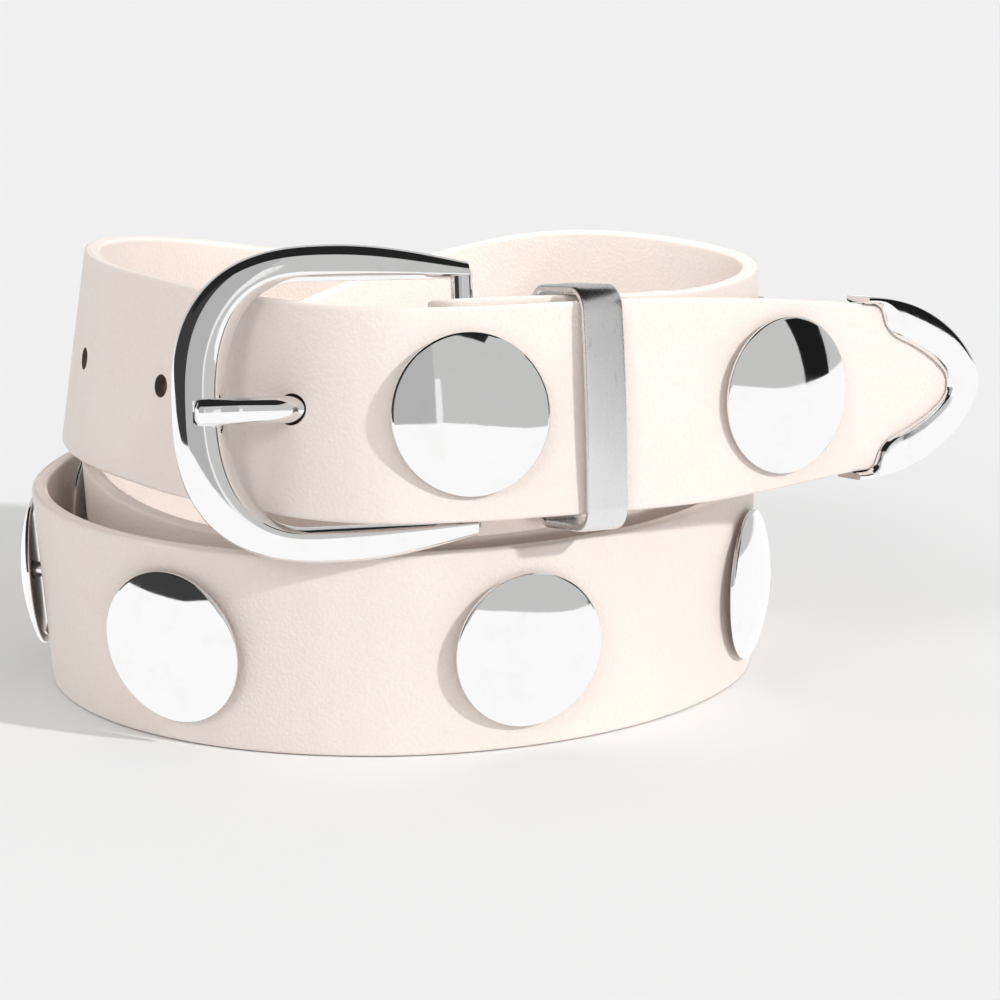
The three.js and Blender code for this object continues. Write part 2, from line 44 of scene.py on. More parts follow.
coil = {
    "radius": 66.0,
    "axisX": -22.603,  # the coil's axis in the part's frame
    "axisY": 7.543,
    "start": -81.9,  # turn angle at the strap's point
    "bar": 1065.7,  # turn angle at the buckle's bar
    "layer": 9.0,  # one strap with its studs and the room round them
    "lap": 4.8,  # one strap and the room behind it
    "width": 37.5,
}

# the strap's route as the part's source has it, from its point to the bar: turn in degrees,
# reach as a share of the coil's radius, layers inwards, laps inwards, lift as a share of the
# strap's width, lean in degrees
routeColumns = ("turn", "reach", "layers", "laps", "lift", "lean")
routeRows = [
    (-84, 1.767, 0, 0, 1.005, -3),
    (-75, 1.559, 0, 0, 1.056, -3),
    (-66, 1.424, 0, 0, 1.104, -3),
    (-57, 1.335, 0, 0, 1.133, -3),
    (-47, 1.27, 0, 0, 1.155, -5),
    (-36, 1.226, 0, 0, 1.179, -7),
    (-24, 1.208, 0, 0, 1.195, -9),
    (-12, 1.223, 0, 0, 1.205, -12),
    (-3, 1.233, 0, 0, 1.211, -13),
    (5, 1.191, 0, 0, 1.208, -12),
    (15, 1.105, 0, 0, 1.205, -10),
    (27, 1.03, 0, 0, 1.203, -9),
    (44, 0.936, 0, 0, 1.195, -9),
    (68, 0.882, 0, 0, 1.173, -8),
    (90, 0.87, 0, 0, 1.147, -8),
    (115, 0.879, 0, 0, 1.077, -7),
    (145, 0.927, 0, 0, 0.928, -6),
    (180, 0.992, 0, 0, 0.704, -5),
    (225, 1.055, 0, 0, 0.293, -3),
    (270, 1.076, 0, 0, 0, 0),
    (300, 1.07, 0, 0, 0, 0),
    (330, 1.079, 0, 0, 0, 1.5),
    (360, 1.1, 0, 0, 0, 3.5),
    (390, 1.097, 0, 0, 0, 6),
    (420, 1.033, 0, 0, 0, 5.5),
    (450, 0.938, 0, 0, 0, 4),
    (466, 0.909, 0.1, 0, 0, 3),
    (480, 0.921, 0.6, 0, 0, 1),
    (494, 0.924, 1, 0, 0, 0),
    (510, 0.912, 1, 0, 0, 0),
    (540, 0.952, 1, 0, 0, 0),
    (585, 1.027, 1, 0, 0, 0),
    (630, 1.071, 1, 0, 0, 0),
    (675, 1.076, 1, 0, 0, 1),
    (720, 1.1, 1, 0, 0, 3),
    (750, 1.091, 1, 0, 0.032, 4),
    (780, 1.024, 1, 0, 0.112, 4),
    (810, 0.933, 1, 0, 0.219, 3),
    (840, 0.948, 2, 0, 0.373, 1),
    (865, 0.918, 2, 0, 0.541, 0),
    (900, 0.955, 2, 0, 0.784, 0),
    (930, 1.015, 1.8, 0, 0.981, 0),
    (945, 1.024, 1.45, 0, 1.045, 0),
    (965, 1.03, 0.85, 0, 1.075, -1),
    (980, 1.039, 0.3, 0, 1.088, -2),
    (992, 1.067, 0, 0, 1.099, -3),
    (1012, 1.142, 0, 0, 1.125, -5),
    (1033, 1.261, 0, 1, 1.163, -7),
    (1056, 1.205, 0, 1, 1.205, -10),
    (1068, 1.223, 0, 1, 1.219, -13),
    (1077, 1.233, 0, 1, 1.219, -13),
]


def routeValue(name, turn):
    column = routeColumns.index(name)
    i = 0
    while i < len(routeRows) - 2 and routeRows[i + 1][0] < turn:
        i += 1

    def slope(k):
        before = routeRows[max(k - 1, 0)]
        after = routeRows[min(k + 1, len(routeRows) - 1)]
        return (after[column] - before[column]) / (after[0] - before[0])

    low, high = routeRows[i], routeRows[i + 1]
    span = high[0] - low[0]
    t = (turn - low[0]) / span
    rise = 3 * t * t - 2 * t**3
    bend = slope(i) * span * t * (1 - t) ** 2 - slope(i + 1) * span * t * t * (1 - t)
    return low[column] * (1 - rise) + high[column] * rise + bend


def routePoint(turn):
    reach = coil["radius"] * routeValue("reach", turn)
    reach -= coil["layer"] * routeValue("layers", turn) + coil["lap"] * routeValue("laps", turn)
    angle = math.radians(turn)
    height = coil["width"] * (routeValue("lift", turn) + 0.5)
    return Vector((-reach * math.sin(angle), -reach * math.cos(angle), height))


def framed(point, along, across, face):
    matrix = Matrix((along, across, face)).transposed().to_4x4()
    matrix.translation = point
    return matrix


# along runs towards the strap's point, across goes up its width, face comes out of its grain side
def routeFrame(turn):
    probe = 0.5
    along = (routePoint(turn - probe) - routePoint(turn + probe)).normalized()
    out = Vector((along.y, -along.x, 0)).normalized()
    up = out.cross(along)
    lean = math.radians(routeValue("lean", turn))
    across = up * math.cos(lean) + out * math.sin(lean)
    return framed(routePoint(turn), along, across, along.cross(across))


def measureRoute():
    rows = [(coil["start"], 0.0)]
    before = routePoint(coil["start"])
    while rows[-1][0] < coil["bar"]:
        turn = min(rows[-1][0] + 1, coil["bar"])
        point = routePoint(turn)
        rows.append((turn, rows[-1][1] + (point - before).length))
        before = point
    return rows


routeTable = measureRoute()
barRun = routeTable[-1][1]


def turnAt(run):
    after = next((i for i, row in enumerate(routeTable) if row[1] >= run), len(routeTable) - 1)
    after = max(1, after)
    (turnA, runA), (turnB, runB) = routeTable[after - 1], routeTable[after]
    return turnA + (turnB - turnA) * (run - runA) / (runB - runA)


def frameAt(run):
    if run >= cap["length"]:
        return routeFrame(turnAt(run))
    matrix = routeFrame(turnAt(cap["length"]))  # straight in the metal point
    return matrix @ Matrix.Translation((cap["length"] - run, 0, 0))


def mix(a, b, t):
    return a + (b - a) * t


def ease(t):
    t = min(max(t, 0.0), 1.0)
    return t * t * (3 - 2 * t)


# Making pieces


def makePiece(name, points, faces, slots=None, sharp=35):
    mesh = bpy.data.meshes.new(name)
    shift = Vector((coil["axisX"], coil["axisY"], 0))
    mesh.from_pydata([(p + shift) * mm for p in points], [], faces)
    if slots:
        mesh.polygons.foreach_set("material_index", slots)
    tidy = bmesh.new()
    tidy.from_mesh(mesh)
    bmesh.ops.recalc_face_normals(tidy, faces=tidy.faces)
    tidy.to_mesh(mesh)
    tidy.free()
    mesh.shade_smooth()
    mesh.set_sharp_from_angle(angle=math.radians(sharp))
    piece = bpy.data.objects.new(name, mesh)
    bpy.context.collection.objects.link(piece)
    return piece


# quads through a run of like loops of points; closed joins the last loop to the first
def loftFaces(loopCount, size, closed=False):
    faces = []
    for i in range(loopCount if closed else loopCount - 1):
        a, b = i * size, (i + 1) % loopCount * size
        for j in range(size):
            k = (j + 1) % size
            faces.append((a + j, a + k, b + k, b + j))
    if not closed:
        faces.append(tuple(range(size)))
        faces.append(tuple(range((loopCount - 1) * size, loopCount * size)))
    return faces


def loftPiece(name, loops, closed=False, sharp=35):
    points = [p for loop in loops for p in loop]
    return makePiece(name, points, loftFaces(len(loops), len(loops[0]), closed), sharp=sharp)


# a profile of (radius, height) turned about the local z of a matrix
def lathePiece(name, profile, matrix, sides, sharp=35):
    loops = []
    for radius, height in profile:
        ring = [2 * math.pi * j / sides for j in range(sides)]
        loops.append([matrix @ Vector((radius * math.cos(a), radius * math.sin(a), height)) for a in ring])
    return loftPiece(name, loops, sharp=sharp)


def cutAway(piece, cutters):
    for cutter in cutters:
        cutter.hide_render = True
        tool = piece.modifiers.new("cut", "BOOLEAN")
        tool.object = cutter
        tool.solver = "EXACT"
        tool.material_mode = "TRANSFER"
    bpy.context.view_layer.update()
    graph = bpy.context.evaluated_depsgraph_get()
    mesh = bpy.data.meshes.new_from_object(piece.evaluated_get(graph))
    piece.modifiers.clear()
    piece.data = mesh
    mesh.set_sharp_from_angle(angle=math.radians(35))
    for cutter in cutters:
        bpy.data.objects.remove(cutter)


def paint(piece, *materials):
    piece.data.materials.clear()
    for material in materials:
        piece.data.materials.append(material)


def standFor(piece, node):
    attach(piece, "root")
    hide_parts(node)


# Metal point

cap = {
    "length": 31.2,
    "power": 0.62,  # 0.5 is an ellipse, more is more pointed
    "wall": 1.1,
    "window": 8.0,  # metal in front of the leather at the very point
    "arm": 1.3,  # metal beside the leather at the open end
    "lip": 0.55,  # slope round the window
    "edge": 0.4,  # rounding of the outer edge
    "crown": 0.2,  # how far the face stands up between its edges
    "steps": 140,
}
fit = 0.3

# side of the window as shares of its length and half height, from its apex
windowSide = [
    (0.0, 0.0), (0.0, 0.07), (0.04, 0.17), (0.2, 0.34), (0.43, 0.5),
    (0.64, 0.6), (0.75, 0.74), (0.79, 0.92), (0.87, 1.0), (1.0, 1.0),
]


def capHalfWidth(run):
    t = min(max(1 - run / cap["length"], 0.0), 1.0)
    return (strap["pointWidth"] / 2 + cap["wall"] + fit) * max(1 - t * t, 0.0) ** cap["power"]


def alongLine(line, share):
    lengths = [0.0]
    for a, b in zip(line, line[1:]):
        lengths.append(lengths[-1] + math.dist(a, b))
    want = share * lengths[-1]
    i = next(k for k in range(1, len(line)) if lengths[k] >= want - 1e-9)
    t = (want - lengths[i - 1]) / (lengths[i] - lengths[i - 1])
    return tuple(mix(a, b, t) for a, b in zip(line[i - 1], line[i]))


# the same line with its corners cut, again and again
def smoothLine(line, rounds):
    for _ in range(rounds):
        finer = [line[0]]
        for a, b in zip(line, line[1:]):
            finer.append(tuple(mix(x, y, 0.25) for x, y in zip(a, b)))
            finer.append(tuple(mix(x, y, 0.75) for x, y in zip(a, b)))
        finer.append(line[-1])
        line = finer
    return line


# half a section of the point: place between window edge and outline, height over the strap's middle
def tipSection(width):
    inner = strap["thickness"] / 2 + fit
    outer = inner + cap["wall"]
    lip = min(cap["lip"], width * 0.3)
    edge = min(cap["edge"], width * 0.25)
    crown = cap["crown"] * min(width / 6, 1)
    rows = [(0.0, inner), (0.0, inner + 0.22), (lip * 0.5, inner + 0.72), (lip, outer)]
    for share in (0.15, 0.35, 0.55, 0.75, 0.9):
        swell = crown * math.sin(share * math.pi)
        rows.append((mix(lip, width - edge, share), outer + swell))
    rows += [(width - edge, outer), (width - edge * 0.45, outer - edge * 0.18)]
    rows += [(width - edge * 0.1, outer - edge * 0.55), (width, outer - edge * 1.2)]
    return rows


def makeTip():
    opening = capHalfWidth(cap["length"]) - cap["arm"]
    reach = cap["length"] - cap["window"]
    window = [(cap["window"] + reach * x, opening * y) for x, y in smoothLine(windowSide, 3)]
    outline = []
    for i in range(61):
        run = cap["length"] * (1 - math.cos(i / 60 * math.pi / 2))
        outline.append((run, capHalfWidth(run)))
    inner = strap["thickness"] / 2 + fit
    half = cap["steps"] // 2
    base = frameAt(0)
    loops = []
    for step in range(-half, half + 1):
        share = abs(step) / half
        side = 1 if step >= 0 else -1
        wx, wy = alongLine(window, share)
        ox, oy = alongLine(outline, share)
        width = math.hypot(ox - wx, oy - wy)
        section = tipSection(width)
        loop = section + [(a, -b) for a, b in reversed(section)]
        loop += [(width - cap["wall"], -inner), (width - cap["wall"], inner)]
        points = []
        for a, b in loop:
            x, y = mix(wx, ox, a / width), mix(wy, oy, a / width)
            points.append(base @ Vector((-x, side * y, b)))
        loops.append(points)
    return loftPiece("tip_metal", loops, sharp=28)


# Strap

strap = {
    "width": coil["width"],
    "thickness": 3.0,
    "pointWidth": 31.0,  # where the metal point begins
    "taper": 54.0,  # stretch over which it narrows towards it
    "step": 1.6,  # between sections
    "fold": 42.0,  # folded back behind the bar
    "round": 0.55,  # rounding of the grain side into the edge
    "seam": 0.13,  # depth of the two lines between the layers
}
holes = {"diameter": 4.2, "first": 144.7, "pitch": 34.0, "count": 6, "toStud": 22.4, "sides": 40}
bar = {"diameter": 4.0, "play": 0.5}
foldRadius = bar["diameter"] / 2 + fit + bar["play"] + strap["thickness"] / 2

# edge of the strap from its grain side to its lining: distance in from the edge as a share of
# round, and height as a share of half the thickness
edgeRows = [(1.6, 1.0), (0.9, 0.985), (0.42, 0.93), (0.14, 0.83), (0.0, 0.68), (0.0, 0.56)]
seamHeights = (0.46, -0.5)  # the two lines, as shares of half the thickness


def edgeProfile():
    rounding, depth = strap["round"], strap["seam"]
    rows = [(inset * rounding, height) for inset, height in edgeRows]
    seam = [(0.0, 0.05), (depth * 0.8, 0.015), (depth * 0.8, -0.015), (0.0, -0.05)]
    for height in seamHeights:
        rows += [(inset, height + rise) for inset, rise in seam]
    rows += [(inset * rounding, -height) for inset, height in reversed(edgeRows[:5])]
    return rows


# (across, through) points of a section and the material of the face after each point
def strapSection(halfWidth):
    half = strap["thickness"] / 2
    edge = edgeProfile()
    plainShares = (0.75, 0.4, 0.0, -0.4, -0.75)
    flat = halfWidth - edge[0][0]
    section = [(halfWidth - inset, height * half) for inset, height in edge]
    slots = [1] * (len(edge) - 1) + [2]
    section += [(flat * share, -half) for share in plainShares]
    slots += [2] * len(plainShares)
    section += [(inset - halfWidth, height * half) for inset, height in reversed(edge)]
    slots += [1] * (len(edge) - 1) + [0]
    section += [(-flat * share, half) for share in plainShares]
    slots += [0] * len(plainShares)
    return section, slots


def strapHalfWidth(run):
    if run < cap["length"]:
        return max(capHalfWidth(run) - cap["wall"] - fit, 0.4)
    t = min((run - cap["length"]) / strap["taper"], 1.0)
    return mix(strap["pointWidth"], strap["width"], math.sin(t * math.pi / 2)) / 2


def turned(matrix, angle):
    return matrix @ Matrix.Rotation(-angle, 4, "Y")


def foldFrames(barFrame):
    frames = []
    bends = 20
    for i in range(1, bends + 1):
        angle = math.pi * i / bends
        offset = (-foldRadius * math.sin(angle), 0, foldRadius * (math.cos(angle) - 1))
        frames.append(turned(barFrame @ Matrix.Translation(offset), angle))
    closeUp = 14.0
    back = strap["step"] / 2
    while back <= strap["fold"]:
        behind = mix(2 * foldRadius, strap["thickness"] + fit, ease(back / closeUp))
        frames.append(turned(frameAt(barRun - back) @ Matrix.Translation((0, 0, -behind)), math.pi))
        back += strap["step"]
    return frames


def makeStrap():
    stations = []
    run = cap["wall"] + fit + 0.3
    while run < cap["length"] - 0.5:
        stations.append((frameAt(run), strapHalfWidth(run), run))
        run += 0.5 if run < 8 else 1.1
    steps = math.ceil((barRun - cap["length"]) / strap["step"])
    for i in range(steps + 1):
        run = mix(cap["length"], barRun, i / steps)
        stations.append((frameAt(run), strapHalfWidth(run), run))
    for i, matrix in enumerate(foldFrames(frameAt(barRun))):
        stations.append((matrix, strap["width"] / 2, barRun + i * 0.8))
    points, slots, places = [], [], []
    for matrix, halfWidth, run in stations:
        section, sectionSlots = strapSection(halfWidth)
        for y, z in section:
            point = matrix @ Vector((0, y, z))
            point.z = max(point.z, 0.0)
            points.append(point)
            places.append((run, y))
    size = len(section)
    faces = loftFaces(len(stations), size)
    slots = sectionSlots * (len(stations) - 1) + [1, 1]
    piece = makePiece("strap_leather", points, faces, slots)
    chart = piece.data.uv_layers.new(name="alongStrap")  # metres along and across the strap
    for loop in piece.data.loops:
        run, y = places[loop.vertex_index]
        chart.data[loop.index].uv = (run * mm, y * mm)
    return piece


def holeCutter(run, diameter, material):
    deep = strap["thickness"]
    profile = [(diameter / 2, -deep), (diameter / 2, deep)]
    cutter = lathePiece("cutter", profile, frameAt(run), holes["sides"])
    paint(cutter, material)
    return cutter


# Studs

studs = {
    "diameter": 28.6,
    "rise": 2.9,  # height of the dome over its rim
    "rim": 0.7,
    "gap": 0.8,  # under the rim
    "post": 3.0,
    "clench": 6.0,
    "clenchWall": 0.6,
    "clenchGap": 0.8,
    "first": 50.5,  # from the strap's point
    "pitch": 64.3,
    "front": 2,  # before the holes
    "sides": 128,
}


def studRuns():
    runs = [studs["first"] + i * studs["pitch"] for i in range(studs["front"])]
    run = holes["first"] + (holes["count"] - 1) * holes["pitch"] + holes["toStud"]
    while run <= barRun - strap["fold"] - studs["diameter"] / 2:
        runs.append(run)
        run += studs["pitch"]
    return runs


def studProfile():
    radius = studs["diameter"] / 2
    skin = strap["thickness"] / 2
    back = skin + studs["gap"]
    rim = back + studs["rim"]
    inner = -skin - studs["clenchGap"]
    post, clench = studs["post"] / 2, studs["clench"] / 2
    profile = [(0.02, inner - studs["clenchWall"] * 0.7), (clench * 0.8, inner - studs["clenchWall"])]
    profile += [(clench, inner - studs["clenchWall"] * 0.6), (clench, inner), (post, inner), (post, back + 0.5)]
    profile += [(radius - 2.2, back + 0.5), (radius - 1.6, back), (radius - 0.15, back), (radius, back + 0.15)]
    profile += [(radius, rim - 0.2), (radius - 0.06, rim - 0.06), (radius - 0.2, rim + 0.03)]
    ball = (radius**2 + studs["rise"] ** 2) / (2 * studs["rise"])  # radius of the dome's sphere
    start = radius - 0.35
    for i in range(26):
        r = start * math.cos(i / 25 * math.pi / 2)
        r = max(r, 0.02)
        profile.append((r, rim + math.sqrt(ball**2 - r**2) - (ball - studs["rise"])))
    return profile


# Buckle frame

buckle = {
    "reach": 51.8,  # bar to far side
    "height": 55.9,
    "barHeight": 48.4,
    "side": 9.5,
    "rail": 6.4,
    "barRail": 3.0,
    "thickness": 4.6,
    "turn": 9.5,
    "lift": 1.2,
    "notch": 1.1,
    "railCrest": 0.16,  # place of the crest from the inner edge
    "sideCrest": 0.32,
    "crestFade": 2.6,  # how soon the far side's crest gives way to the rails'
    "straight": 0.3,  # share of the way from the bar to the far side that is rail
    "lead": 1.2,  # rail in front of the bar
    "outerSwell": 24 / 53.2,  # where the rails end, as a share of the reach
    "innerSwell": 29 / 53.2,
    "outerRound": 2.6,  # 2 is an ellipse, more is squarer
    "innerRound": 2.35,
    "notchRoom": 0.15,  # past the prong's end
    "steps": 220,
}
prong = {
    "diameter": 4.8,
    "neck": 3.6,
    "ringWall": 1.5,
    "drop": 0.8,
    "length": 48.2,
    "nose": 1.1,  # rounded stretch at its end
    "noseWidth": 0.55,  # at the very end, as a share of the diameter
    "slotRoom": 0.4,
}


def buckleMatrix():
    barFrame = frameAt(barRun)
    origin = barFrame @ Vector((0, buckle["lift"], -foldRadius))
    angle = math.radians(buckle["turn"])
    x = Vector((math.cos(angle), math.sin(angle), 0))
    across = barFrame.to_3x3().col[1]
    y = (across - x * across.dot(x)).normalized()
    return framed(origin, x, y, x.cross(y))


# outer and inner outline at a share of the way round, 0 and 1 where the rails meet the bar
def frameOutline(share):
    bulge = buckle["outerSwell"] * buckle["reach"]
    innerBulge = buckle["innerSwell"] * buckle["reach"]
    side = 1 if share < 0.5 else -1
    t = share * 2 if share < 0.5 else 2 - share * 2
    straight = buckle["straight"]
    outerHalf = buckle["height"] / 2
    innerHalf = outerHalf - buckle["rail"]
    if t < straight:
        s = t / straight
        outerY = mix(buckle["barHeight"] / 2, outerHalf, math.sin(s * math.pi / 2))
        innerY = mix(buckle["barHeight"] / 2 - buckle["barRail"], innerHalf, s)
        lead = buckle["lead"] * (1 - s)
        return (lead - bulge * s, side * outerY), (lead - innerBulge * s, side * innerY)
    angle = (t - straight) / (1 - straight) * math.pi / 2

    def rounded(value, power):
        return abs(value) ** (2 / power)

    innerReach = buckle["reach"] - buckle["side"] - innerBulge
    outer = (
        -bulge - (buckle["reach"] - bulge) * rounded(math.sin(angle), buckle["outerRound"]),
        side * outerHalf * rounded(math.cos(angle), buckle["outerRound"]),
    )
    inner = (
        -innerBulge - innerReach * rounded(math.sin(angle), buckle["innerRound"]),
        side * innerHalf * rounded(math.cos(angle), buckle["innerRound"]),
    )
    return outer, inner


# section of the frame: share from inner to outer edge, height as a share of half the thickness;
# the inner slope rises to a crest, and the rest is a low dome
def frameSection(crest):
    rows = [(0.0, -0.55), (0.0, -0.1), (crest * 0.12, 0.12), (crest * 0.9, 0.9), (crest + 0.03, 0.985)]
    rows += [(crest + 0.09, 1.0)]
    dome = [(0.2, 1.0), (0.36, 0.975), (0.5, 0.925), (0.63, 0.84), (0.74, 0.72), (0.83, 0.57), (0.9, 0.4)]
    dome += [(0.95, 0.2), (0.985, -0.05), (1.0, -0.35)]
    rows += [(mix(crest, 1.0, share), height) for share, height in dome]
    rows += [(0.99, -0.7), (0.96, -0.88), (0.9, -0.98), (0.7, -1.0), (0.3, -1.0), (0.1, -0.97), (0.02, -0.85)]
    return rows


def makeFrame(matrix):
    half = buckle["thickness"] / 2
    loops = []
    for i in range(buckle["steps"] + 1):
        outer, inner = frameOutline(i / buckle["steps"])
        # 1 at the far side, 0 on the rails
        across = ease(1 - abs(i / buckle["steps"] - 0.5) * buckle["crestFade"])
        loop = []
        for share, height in frameSection(mix(buckle["railCrest"], buckle["sideCrest"], across)):
            x, y = mix(inner[0], outer[0], share), mix(inner[1], outer[1], share)
            loop.append(matrix @ Vector((x, y, height * half)))
        loops.append(loop)
    ring = loftPiece("buckle_frame_metal", loops, sharp=40)
    upright = matrix @ Matrix.Rotation(math.pi / 2, 4, "X")
    barHalf = (buckle["barHeight"] - buckle["barRail"]) / 2
    barProfile = [(bar["diameter"] / 2, -barHalf), (bar["diameter"] / 2, barHalf)]
    barPiece = lathePiece("bar", barProfile, upright, 48)
    join = ring.modifiers.new("join", "BOOLEAN")
    join.operation = "UNION"
    join.object = barPiece
    join.solver = "EXACT"
    seat = (prong["diameter"] + 2 * fit) / 2
    sideways = matrix @ Matrix.Translation((0, -prong["drop"], half + seat - buckle["notch"]))
    sideways = sideways @ Matrix.Rotation(math.pi / 2, 4, "Y")
    end = -prong["length"] - buckle["notchRoom"]
    notch = lathePiece("cutter", [(seat, end), (seat, end + buckle["side"] * 1.5)], sideways, 48)
    cutAway(ring, [notch])
    bpy.data.objects.remove(barPiece)
    return ring


# Prong


def prongPath():
    half = buckle["thickness"] / 2
    rest = half + prong["diameter"] / 2 + fit - buckle["notch"]
    start = bar["diameter"] / 2 + fit + prong["ringWall"] / 2
    length = prong["length"]
    rows = [
        (start * 0.4, 0.2), (start + 5, 0.3), (length * 0.56, 0.9), (length * 0.7, 3.2),
        (length * 0.81, rest + 0.2), (length * 0.91, rest), (length, rest),
    ]
    return [Vector((-x, -prong["drop"], z)) for x, z in rows]


# points of a smooth curve through a path, evenly along it
def curvePoints(path, count):
    dense = []
    padded = [path[0] * 2 - path[1]] + path + [path[-1] * 2 - path[-2]]
    for i in range(1, len(padded) - 2):
        a, b, c, d = padded[i - 1 : i + 3]
        for k in range(24):
            t = k / 24
            bend = (2 * a - 5 * b + 4 * c - d) * t**2 + (3 * b - a - 3 * c + d) * t**3
            dense.append(0.5 * (2 * b + (c - a) * t + bend))
    dense.append(path[-1])
    lengths = [0.0]
    for a, b in zip(dense, dense[1:]):
        lengths.append(lengths[-1] + (b - a).length)
    points = []
    k = 1
    for i in range(count + 1):
        want = lengths[-1] * i / count
        while k < len(lengths) - 1 and lengths[k] < want:
            k += 1
        t = (want - lengths[k - 1]) / max(lengths[k] - lengths[k - 1], 1e-9)
        points.append(dense[k - 1].lerp(dense[k], t))
    return points


def prongRod(name, matrix, grow):
    count, sides = 90, 40
    points = curvePoints(prongPath(), count)
    loops = []
    for i, point in enumerate(points):
        tangent = (points[min(i + 1, count)] - points[max(i - 1, 0)]).normalized()
        side = Vector((-tangent.z, 0, tangent.x))
        share = i / count
        left = (points[-1] - point).length
        endRound = 1.0
        if left < prong["nose"]:
            endRound = mix(prong["noseWidth"], 1, math.sqrt(1 - (1 - left / prong["nose"]) ** 2))
        radius = mix(prong["neck"], prong["diameter"], ease((share - 0.35) / 0.25)) / 2 * endRound + grow
        loop = []
        for j in range(sides):
            angle = 2 * math.pi * j / sides
            offset = side * radius * math.cos(angle) + Vector((0, radius * math.sin(angle), 0))
            loop.append(matrix @ (point + offset))
        loops.append(loop)
    return loftPiece(name, loops, sharp=50)


def makeProng(matrix):
    rod = prongRod("prong_metal", matrix, 0)
    inside = bar["diameter"] / 2 + fit
    outside = inside + prong["ringWall"]
    half = prong["neck"] / 2
    upright = matrix @ Matrix.Translation((0, -prong["drop"], 0)) @ Matrix.Rotation(math.pi / 2, 4, "X")
    ring = lathePiece("ring", [(outside, -half), (outside, half)], upright, 64)
    bore = lathePiece("cutter", [(inside, -half * 2), (inside, half * 2)], upright, 64)
    join = rod.modifiers.new("join", "BOOLEAN")
    join.operation = "UNION"
    join.object = ring
    join.solver = "EXACT"
    cutAway(rod, [bore])
    bpy.data.objects.remove(ring)
    return rod


# Keeper loop

keeper = {
    "toStud": 24.4,  # its middle to the second stud
    "width": 8.0,
    "wall": 1.3,
    "corner": 4.5,
    "slack": 5.2,
    "gap": 0.6,
    "play": 3.4,
    "lift": -0.3,
    "turn": 3.0,
    "edge": 0.28,  # rounding of its rims
    "crown": 0.3,
    "bow": 0.5,  # of its faces, over their height
}


def makeKeeper():
    depth = 3 * strap["thickness"] + coil["lap"] - strap["thickness"] + 3 * fit + keeper["slack"]
    height = strap["width"] + keeper["play"]
    middle = strap["thickness"] / 2 + keeper["gap"] - depth / 2
    place = studs["first"] + studs["pitch"] - keeper["toStud"]
    matrix = frameAt(place) @ Matrix.Translation((0, keeper["lift"], middle))
    matrix = matrix @ Matrix.Rotation(math.radians(keeper["turn"]), 4, "Y")
    halfY, halfZ = height / 2 + keeper["wall"], depth / 2 + keeper["wall"]
    corner = keeper["corner"]
    corners = [(halfY - corner, halfZ - corner, 0), (corner - halfY, halfZ - corner, 90)]
    corners += [(corner - halfY, corner - halfZ, 180), (halfY - corner, corner - halfZ, 270)]
    path = []  # (y, z, outward y, outward z)
    for y, z, start in corners:
        for i in range(15):
            angle = math.radians(start + 90 * i / 14)
            outY, outZ = math.cos(angle), math.sin(angle)
            path.append((y + corner * outY, z + corner * outZ, outY, outZ))
        if start in (0, 180):
            side = 1 if start == 0 else -1
            for i in range(1, 12):
                share = 1 - i / 6
                out = halfZ + keeper["bow"] * (1 - share**2)
                path.append((side * share * (halfY - corner), side * out, 0.0, side))
    halfX, wall, edge = keeper["width"] / 2, keeper["wall"], keeper["edge"]
    rim = [(halfX - edge * 1.6, 0.0), (halfX - edge * 0.55, edge * 0.25)]
    rim += [(halfX - edge * 0.12, edge * 0.7), (halfX, edge * 1.5)]
    loops = []
    for y, z, outY, outZ in path:
        crown = keeper["crown"] * max(outZ, 0) ** 2  # on the front face alone
        section = list(rim)
        section += [(halfX, wall - edge), (halfX - edge, wall), (edge - halfX, wall), (-halfX, wall - edge)]
        section += [(-x, depthIn) for x, depthIn in reversed(rim)]
        section += [(-halfX * 0.5, -crown * 0.75), (0.0, -crown), (halfX * 0.5, -crown * 0.75)]
        loops.append([matrix @ Vector((x, y - outY * d, z - outZ * d)) for x, d in section])
    return loftPiece("keeper_metal", loops, closed=True, sharp=38)


# Materials


# a shader socket; sums on it add Math nodes
class Signal:
    def __init__(self, look, socket):
        self.look = look
        self.socket = socket

    def sum(self, operation, first, second):
        return self.look.node("ShaderNodeMath", {"operation": operation}, {0: first, 1: second})

    def __add__(self, other):
        return self.sum("ADD", self, other)

    def __radd__(self, other):
        return self.sum("ADD", other, self)

    def __sub__(self, other):
        return self.sum("SUBTRACT", self, other)

    def __rsub__(self, other):
        return self.sum("SUBTRACT", other, self)

    def __mul__(self, other):
        return self.sum("MULTIPLY", self, other)

    def __rmul__(self, other):
        return self.sum("MULTIPLY", other, self)


